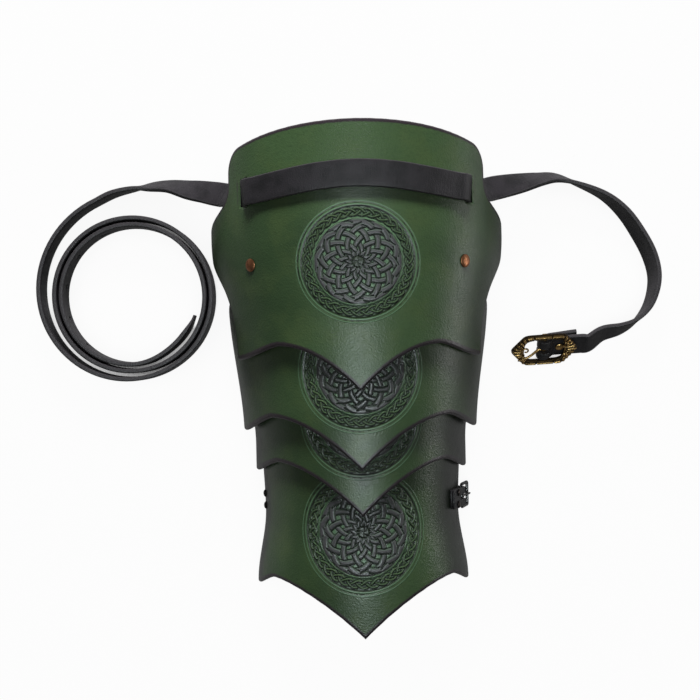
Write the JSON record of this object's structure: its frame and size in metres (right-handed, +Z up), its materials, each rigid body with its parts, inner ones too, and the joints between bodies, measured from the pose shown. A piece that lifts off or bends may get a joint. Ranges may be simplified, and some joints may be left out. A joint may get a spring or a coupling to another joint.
{
  "type": "leather pauldron",
  "caption": "Leather shoulder armour of nested plates hung on inner straps, with a long shoulder strap, a brass buckle and an arm strap.",
  "frame": {"origin": "half way along the row of plates, under their crown line, on the plane that the piece lies on", "axes": "+X across the arm toward the buckle end of the shoulder strap, +Y along the arm toward the neck, +Z up from the table through the crown"},
  "size_m": [0.5059, 0.385, 0.1118],
  "materials": {
    "plate_leather": "smooth dyed and burnished dark at the edges",
    "strap_leather": "black, mat, fine grain",
    "copper": "dull copper",
    "antique_brass": "antiqued brass",
    "dark_bronze": "dark, dull",
    "dark_steel": "dull"
  },
  "bodies": {
    "upper": {"upper_plate": "plate_leather", "upper_hanger_left": "strap_leather", "upper_hanger_right": "strap_leather", "upper_rivets": "copper", "upper_burrs": "copper", "shoulder_strap": "strap_leather", "strap_coil": "strap_leather", "buckle_fold": "strap_leather", "fold_rivet": "antique_brass", "fold_burr": "antique_brass"},
    "second": {"second_lame": "plate_leather", "second_hanger_left": "strap_leather", "second_hanger_right": "strap_leather", "second_rivets": "copper", "second_burrs": "copper"},
    "third": {"third_lame": "plate_leather", "third_hanger_left": "strap_leather", "third_hanger_right": "strap_leather", "third_rivets": "copper", "third_burrs": "copper"},
    "lower": {"lower_lame": "plate_leather", "lower_hanger_left": "strap_leather", "lower_hanger_right": "strap_leather", "lower_rivets": "copper", "lower_burrs": "copper", "arm_strap": "strap_leather", "arm_strap_rivets": "dark_bronze", "arm_strap_burrs": "dark_bronze", "arm_tab": "strap_leather", "arm_tab_rivets": "dark_bronze", "arm_tab_burrs": "dark_bronze"},
    "buckle": {"buckle_frame": "antique_brass"},
    "prong": {"buckle_prong": "antique_brass"},
    "arm_buckle": {"arm_buckle_frame": "dark_steel"},
    "arm_prong": {"arm_buckle_prong": "dark_steel"}
  },
  "joints": [
    {"name": "second_lame_tilt", "type": "hinge", "parent": "upper", "child": "second", "pos_m": [0, 0.079, 0.07293], "axis": [1, 0, 0], "range_deg": [0, 18]},
    {"name": "third_lame_tilt", "type": "hinge", "parent": "second", "child": "third", "pos_m": [0, 0.044, 0.06794], "axis": [1, 0, 0], "range_deg": [0, 18]},
    {"name": "lower_lame_tilt", "type": "hinge", "parent": "third", "child": "lower", "pos_m": [0, -0.031, 0.06197], "axis": [1, 0, 0], "range_deg": [0, 18]},
    {"name": "buckle_swing", "type": "hinge", "parent": "upper", "child": "buckle", "pos_m": [0.15049, 0.02366, 0.01202], "axis": [0.0351, -0.6938, -0.7193], "range_deg": [0, 60]},
    {"name": "buckle_prong_swing", "type": "hinge", "parent": "buckle", "child": "prong", "pos_m": [0.15049, 0.02366, 0.01202], "axis": [-0.0351, 0.6938, 0.7193], "range_deg": [0, 100]},
    {"name": "arm_buckle_swing", "type": "hinge", "parent": "lower", "child": "arm_buckle", "pos_m": [0.08025, -0.0945, 0.02079], "axis": [0, -1, 0], "range_deg": [0, 70]},
    {"name": "arm_prong_swing", "type": "hinge", "parent": "arm_buckle", "child": "arm_prong", "pos_m": [0.08025, -0.0945, 0.02079], "axis": [0, -1, 0], "range_deg": [0, 80]}
  ]
}
